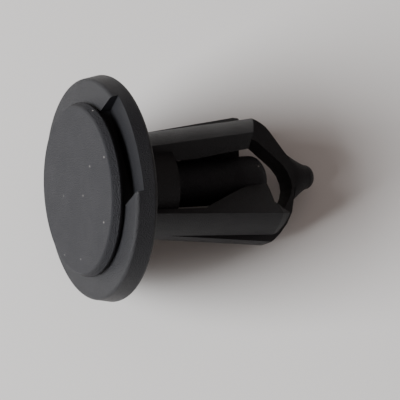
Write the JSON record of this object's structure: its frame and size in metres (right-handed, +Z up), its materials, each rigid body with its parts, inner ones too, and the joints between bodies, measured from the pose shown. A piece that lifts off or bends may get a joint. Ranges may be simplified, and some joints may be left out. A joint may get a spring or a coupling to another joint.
{
  "type": "push rivet",
  "caption": "Black plastic push rivet: a slotted, flanged barrel with springy legs and a pointed nose, spread by a round-headed pin pressed in along its axis.",
  "frame": {"origin": "centre of the bounding box's base, on the ground the rivet lies on", "axes": "X runs from the head toward the nose, Z is up, and the near slot faces up and a little toward -Y; the rivet's own axis slopes down toward the nose"},
  "size_m": [0.0252, 0.02, 0.0189],
  "materials": {
    "body_plastic": "moulded black, semi-matte, fine grain on the flange",
    "pin_plastic": "moulded black, semi-matte, fine grain on the head"
  },
  "bodies": {
    "barrel": {"body": "body_plastic"},
    "drive_pin": {"pin": "pin_plastic"}
  },
  "joints": [
    {"name": "pin_slide", "type": "slide", "parent": "barrel", "child": "drive_pin", "axis": [-0.936, 0, 0.3521], "range_m": [0, 0.006]}
  ]
}
